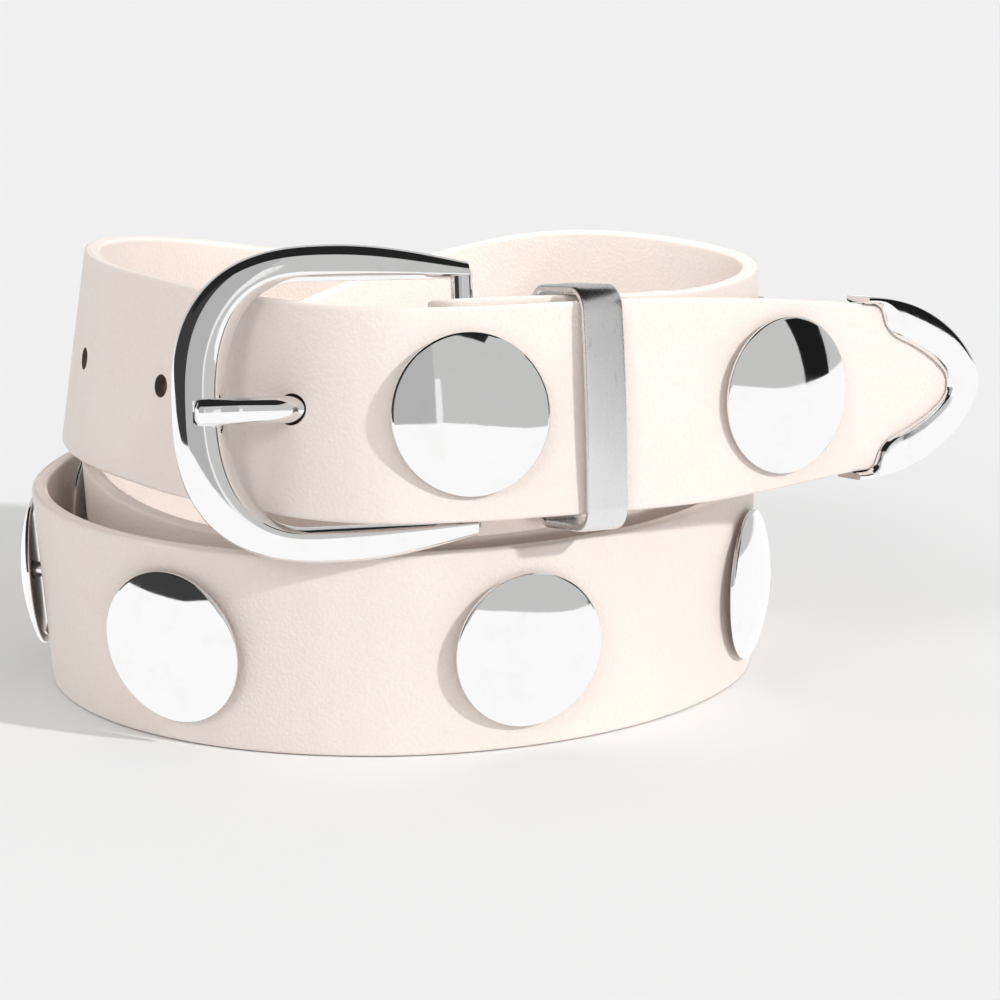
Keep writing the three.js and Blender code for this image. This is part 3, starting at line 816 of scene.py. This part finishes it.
class Look:
    def __init__(self, name):
        self.material = bpy.data.materials.new(name)
        self.material.use_nodes = True
        self.tree = self.material.node_tree
        self.shader = self.tree.nodes["Principled BSDF"]

    # any node: its type, its settings, then the values or links of its sockets
    def node(self, kind, settings=None, inputs=None, output=0):
        node = self.tree.nodes.new(kind)
        for name, value in (settings or {}).items():
            setattr(node, name, value)
        for name, value in (inputs or {}).items():
            self.feed(node.inputs[name], value)
        return Signal(self, node.outputs[output])

    def feed(self, socket, value):
        if isinstance(value, Signal):
            self.tree.links.new(value.socket, socket)
        else:
            socket.default_value = value

    def set(self, **values):
        for name, value in values.items():
            self.feed(self.shader.inputs[name.replace("_", " ")], value)

    def place(self, scale):
        spot = self.node("ShaderNodeTexCoord", output="Object")
        return self.node("ShaderNodeMapping", inputs={"Vector": spot, "Scale": scale})

    # a chart of metres along and across the strap
    def strapPlace(self, scale):
        spot = self.node("ShaderNodeUVMap", {"uv_map": "alongStrap"})
        return self.node("ShaderNodeMapping", inputs={"Vector": spot, "Scale": scale})

    # noise by the size of its blotches in millimetres
    def noise(self, size, detail=2.0, roughness=0.5, place=None):
        at = place or self.place((1, 1, 1))
        scale = 1.0 if place else 1 / (size * mm)
        inputs = {"Vector": at, "Scale": scale, "Detail": detail, "Roughness": roughness}
        return self.node("ShaderNodeTexNoise", None, inputs)

    def cells(self, size):
        inputs = {"Vector": self.place((1, 1, 1)), "Scale": 1 / (size * mm), "Smoothness": 0.5}
        return self.node("ShaderNodeTexVoronoi", {"feature": "SMOOTH_F1"}, inputs)

    # from low to high of a value onto 0 to 1, or onto other ends, eased
    def fade(self, value, low, high, start=0.0, end=1.0):
        inputs = {"Value": value, "From Min": low, "From Max": high, "To Min": start, "To Max": end}
        return self.node("ShaderNodeMapRange", {"interpolation_type": "SMOOTHSTEP"}, inputs)

    def blend(self, share, a, b):
        settings = {"data_type": "RGBA"}
        colours = [c if isinstance(c, Signal) else (*c, 1) for c in (a, b)]
        return self.node("ShaderNodeMix", settings, {0: share, 6: colours[0], 7: colours[1]}, output=2)

    # heights are in millimetres
    def relief(self, height, strength=1.0):
        inputs = {"Height": height, "Strength": strength, "Distance": mm}
        self.set(Normal=self.node("ShaderNodeBump", None, inputs))


leather = {
    "grain": (0.835, 0.75, 0.70),
    "grainWarm": (0.815, 0.72, 0.66),
    # painted shade: darkens the valleys between the grain's pebbles and the creases of the lining's wrinkles
    "hollowShade": (0.70, 0.61, 0.55),
    "edge": (0.60, 0.46, 0.38),
    "edgeDark": (0.34, 0.22, 0.165),
    "lining": (0.83, 0.765, 0.715),
    # painted shade: walls of the holes and the prong's slot, the cut leather's own dark brown deepened to near
    # black by the shade inside the holes
    "hole": (0.05, 0.035, 0.03),
    "holeShadeFibres": (0.12, 0.085, 0.07),
    "pebble": 0.7,  # mm across
    "pebbleDepth": 0.035,
}
chrome = {
    "colour": (0.88, 0.88, 0.88),
    "smudged": (0.80, 0.795, 0.78),
    "roughness": 0.045,
    "smudge": 0.07,
    "ripple": 0.012,
    "speck": 0.0006,
}
satin = {
    "colour": (0.74, 0.74, 0.745),
    "bright": (0.79, 0.79, 0.785),
    "scratched": (0.45, 0.45, 0.46),
    "roughness": 0.2,
    "scratch": 0.003,
}


def grainLook():
    look = Look("leather_grain")
    pebbles = look.cells(leather["pebble"])
    domes = 1 - look.fade(pebbles, 0.02, 0.7)
    fine = look.noise(0.35, 3.0, 0.6)
    soft = look.noise(14.0, 2.0)
    patches = look.noise(30.0, 4.0, 0.6)
    colour = look.blend(look.fade(patches, 0.35, 0.7), leather["grain"], leather["grainWarm"])
    # painted shade in the valleys between the pebbles
    valleyShade = look.fade(pebbles, 0.5, 0.8) * look.fade(fine, 0.35, 0.65) * 0.3
    colour = look.blend(valleyShade, colour, leather["hollowShade"])
    look.set(Base_Color=colour, Roughness=look.fade(fine, 0.2, 0.8, 0.44, 0.58), Specular_IOR_Level=0.35)
    look.relief(domes * leather["pebbleDepth"] + fine * 0.02 + soft * 0.22)
    return look.material


def liningLook():
    look = Look("leather_lining")
    fine = look.noise(0.5, 3.0, 0.6)
    patches = look.noise(24.0, 4.0, 0.6)
    wrinkles = look.noise(1, 3.0, 0.6, look.strapPlace((420, 22, 1)))
    colour = look.blend(look.fade(patches, 0.3, 0.7), leather["lining"], leather["grainWarm"])
    # painted shade in the creases of the wrinkles
    colour = look.blend(look.fade(wrinkles, 0.58, 0.8, 0, 0.3), colour, leather["hollowShade"])
    look.set(Base_Color=colour, Roughness=look.fade(fine, 0.2, 0.8, 0.5, 0.66), Specular_IOR_Level=0.3)
    look.relief(fine * 0.03 + wrinkles * 0.09)
    return look.material


def edgeLook():
    look = Look("leather_edge")
    fibres = look.noise(1, 4.0, 0.65, look.strapPlace((700, 700, 1)))
    patches = look.noise(5.0, 4.0, 0.6)
    colour = look.blend(look.fade(patches, 0.3, 0.72), leather["edge"], leather["grainWarm"])
    colour = look.blend(look.fade(fibres, 0.52, 0.75, 0, 0.5), colour, leather["edgeDark"])
    look.set(Base_Color=colour, Roughness=look.fade(fibres, 0.2, 0.8, 0.55, 0.75), Specular_IOR_Level=0.25)
    look.relief(look.noise(0.4, 4.0, 0.65) * 0.07)
    return look.material


# walls of the holes and slot: painted shade over the cut edge's own dark brown, mottled by fibres
def holeLook():
    look = Look("hole_wall_painted_shade")
    fibres = look.noise(0.3, 4.0, 0.65)
    look.set(Base_Color=look.blend(fibres, leather["hole"], leather["holeShadeFibres"]), Roughness=0.8)
    return look.material


def chromeLook():
    look = Look("mirror_chrome")
    smudges = look.fade(look.noise(7.0, 5.0, 0.65), 0.5, 0.75)
    specks = look.fade(look.noise(0.7, 2.0), 0.66, 0.74)
    colour = look.blend(smudges * 0.35, chrome["colour"], chrome["smudged"])
    roughness = chrome["roughness"] + smudges * chrome["smudge"] + specks * 0.05
    look.set(Base_Color=colour, Metallic=1.0, Roughness=roughness)
    look.relief(look.noise(6.0, 2.0) * chrome["ripple"] + look.noise(0.9, 2.0) * chrome["speck"])
    return look.material


def satinLook():
    look = Look("brushed_satin")
    brush = look.noise(1, 3.0, 0.7, look.place((4200, 4200, 90)))
    scratches = look.noise(1, 1.0, 0.5, look.place((1500, 1500, 30)))
    smudges = look.fade(look.noise(9.0, 4.0, 0.6), 0.42, 0.7)
    deep = look.fade(scratches, 0.66, 0.72)
    colour = look.blend(brush * 0.5, satin["colour"], satin["bright"])
    colour = look.blend(deep * 0.12, colour, satin["scratched"])
    roughness = satin["roughness"] + brush * 0.12 + smudges * 0.06 - deep * 0.05
    look.set(Base_Color=colour, Metallic=1.0, Roughness=roughness)
    look.relief((brush - deep) * satin["scratch"])
    return look.material


# Studio

studio = {
    "floor": (0.9, 0.903, 0.905),
    "world": 0.61,
    "inside": 0.085,  # watts of the small lamp over the coil
    "insidePlace": (-0.03, -0.06, 0.27),
    "insideTarget": (0.03, 0.07, 0.05),
    "insideSize": 0.12,
    "insideSpread": 70,
}

# name, degrees to the right of the camera's side, rise, strength and width in degrees
suns = [
    ("sun_right", 60, 28, 1.85, 3),
    ("sun_left", -28, 32, 0.5, 20),
]


def plainLook(name, colour, glow=0.0):
    look = Look(name)
    look.set(Base_Color=(*colour, 1), Roughness=1.0, Specular_IOR_Level=0.0)
    look.set(Emission_Color=(1, 1, 1, 1), Emission_Strength=glow)
    return look.material


def makeFloor():
    depth = [-1.4 + 0.1 * i for i in range(41)]
    mesh = bpy.data.meshes.new("floor")
    points = [(x, y, -0.0002) for y in depth for x in (-2.4, 2.4)]
    faces = [(2 * i, 2 * i + 1, 2 * i + 3, 2 * i + 2) for i in range(len(depth) - 1)]
    mesh.from_pydata(points, [], faces)
    floor = bpy.data.objects.new("floor", mesh)
    bpy.context.collection.objects.link(floor)
    paint(floor, plainLook("pale_floor", studio["floor"]))


# cards that only the metal sees: name, place, what they face, size and glow
cards = [
    ("card_sheet", (0, -0.3, 0.0002), (0, -0.3, 1), (3.4, 2.4), 1.08),
    ("card_ceiling", (-0.5, 0.14, 1.0), (-0.5, 0.14, 0), (2.4, 1.5), 0.02),
    ("card_dark_right", (1.17, 0.06, 0.4), (0, 0, 0.06), (0.46, 0.8), 0.012),
]

# round cards: name, reach, glow, and rows of turn to the right of the camera's side, low and high
horizonRows = [(-122, 0, 0.07), (-50, 0, 0.09), (-20, 0, 0.23), (12, 0, 0.25)]
horizonRows += [(30, 0, 0.19), (45, 0, 0.12), (60, 0, 0.05), (75, 0, 0.001)]
roundCards = [
    ("card_horizon", 1.45, 1.08, horizonRows),
    ("card_dark_side", 1.4, 0.05, [(-122, 0.07, 2.6), (-50, 0.09, 2.6), (-26, 0.2, 2.6)]),
    ("card_grey_side", 1.4, 0.5, [(-26, 0.2, 2.6), (8.5, 0.24, 2.6)]),
    ("card_strip", 1.4, 0.95, [(8.5, 0.24, 0.9), (12, 0.24, 0.9)]),
]


def showCard(name, corners, faces, glow):
    mesh = bpy.data.meshes.new(name)
    mesh.from_pydata(corners, [], faces)
    piece = bpy.data.objects.new(name, mesh)
    bpy.context.collection.objects.link(piece)
    paint(piece, plainLook(name, (0, 0, 0), glow))
    piece.visible_camera = False
    piece.visible_diffuse = False
    piece.visible_shadow = False
    return piece


def makeCards():
    for name, place, target, size, glow in cards:
        width, height = size[0] / 2, size[1] / 2
        corners = [(-width, -height, 0), (width, -height, 0), (width, height, 0), (-width, height, 0)]
        piece = showCard(name, corners, [(0, 1, 2, 3)], glow)
        piece.location = place
        piece.rotation_euler = (Vector(target) - Vector(place)).to_track_quat("Z", "Y").to_euler()
    for name, reach, glow, rows in roundCards:
        corners = []
        for before, after in zip(rows, rows[1:]):
            for i in range(13):
                turn, low, high = (mix(a, b, i / 12) for a, b in zip(before, after))
                x, y = reach * math.sin(math.radians(turn)), -reach * math.cos(math.radians(turn))
                corners += [(x, y, low), (x, y, high)]
        faces = [(2 * i, 2 * i + 2, 2 * i + 3, 2 * i + 1) for i in range(len(corners) // 2 - 1)]
        showCard(name, corners, faces, glow)


def makeLights():
    world = bpy.data.worlds.new("studio")
    bpy.context.scene.world = world
    world.use_nodes = True
    background = world.node_tree.nodes["Background"]
    background.inputs["Color"].default_value = (1.0, 0.995, 0.99, 1)
    background.inputs["Strength"].default_value = studio["world"]
    for name, turn, rise, strength, width in suns:
        data = bpy.data.lights.new(name, "SUN")
        data.energy = strength
        data.angle = math.radians(width)
        sun = bpy.data.objects.new(name, data)
        bpy.context.collection.objects.link(sun)
        sun.rotation_euler = (math.radians(90 - rise), 0, math.radians(turn))
        sun.visible_glossy = False
    data = bpy.data.lights.new("lamp_inside", "AREA")
    data.energy = studio["inside"]
    data.size = studio["insideSize"]
    data.spread = math.radians(studio["insideSpread"])
    lamp = bpy.data.objects.new("lamp_inside", data)
    bpy.context.collection.objects.link(lamp)
    lamp.location = studio["insidePlace"]
    aim = Vector(studio["insideTarget"]) - Vector(studio["insidePlace"])
    lamp.rotation_euler = aim.to_track_quat("-Z", "Y").to_euler()
    lamp.visible_glossy = False
    lamp.visible_camera = False
    lamp.light_linking.receiver_collection = bpy.data.collections.new("lit_by_lamp")
    return lamp


camera = {"place": (0.0006, -0.7475, 0.2086), "tilt": 76.69, "lens": 143.1}


def makeCamera():
    data = bpy.data.cameras.new("camera")
    data.lens = camera["lens"]
    data.sensor_width = 36.0
    view = bpy.data.objects.new("camera", data)
    bpy.context.collection.objects.link(view)
    view.location = camera["place"]
    view.rotation_euler = (math.radians(camera["tilt"]), 0, 0)
    bpy.context.scene.camera = view


# Building

makeCamera()
lampInside = makeLights()
makeFloor()
makeCards()
bpy.context.scene.view_settings.view_transform = "Standard"
print("studio ready")

grain, edgeLeather, lining, holeWall = grainLook(), edgeLook(), liningLook(), holeLook()
mirror, brushed = chromeLook(), satinLook()
print("materials ready")

strapPiece = makeStrap()
paint(strapPiece, grain, edgeLeather, lining)
buckleFrame = buckleMatrix()
cutters = [holeCutter(run, studs["post"] + 2 * fit, holeWall) for run in studRuns()]
for i in range(1, holes["count"]):
    cutters.append(holeCutter(holes["first"] + i * holes["pitch"], holes["diameter"], holeWall))
cutters.append(prongRod("cutter", buckleFrame, prong["slotRoom"]))
paint(cutters[-1], holeWall)
cutAway(strapPiece, cutters)
standFor(strapPiece, "strap")
lampInside.light_linking.receiver_collection.objects.link(strapPiece)  # it lights nothing else
print("strap ready:", len(strapPiece.data.polygons), "faces")

for i, run in enumerate(studRuns()):
    name = f"stud_{i + 1:02d}"
    stud = lathePiece(name + "_dome", studProfile(), frameAt(run), studs["sides"])
    paint(stud, mirror)
    standFor(stud, name)
print("studs ready:", len(studRuns()))

framePiece = makeFrame(buckleFrame)
paint(framePiece, mirror)
standFor(framePiece, "buckle_frame")
prongPiece = makeProng(buckleFrame)
paint(prongPiece, mirror)
standFor(prongPiece, "prong")
keeperPiece = makeKeeper()
paint(keeperPiece, brushed)
standFor(keeperPiece, "keeper_loop")
tipPiece = makeTip()
paint(tipPiece, mirror)
standFor(tipPiece, "tip")
print("buckle set ready")
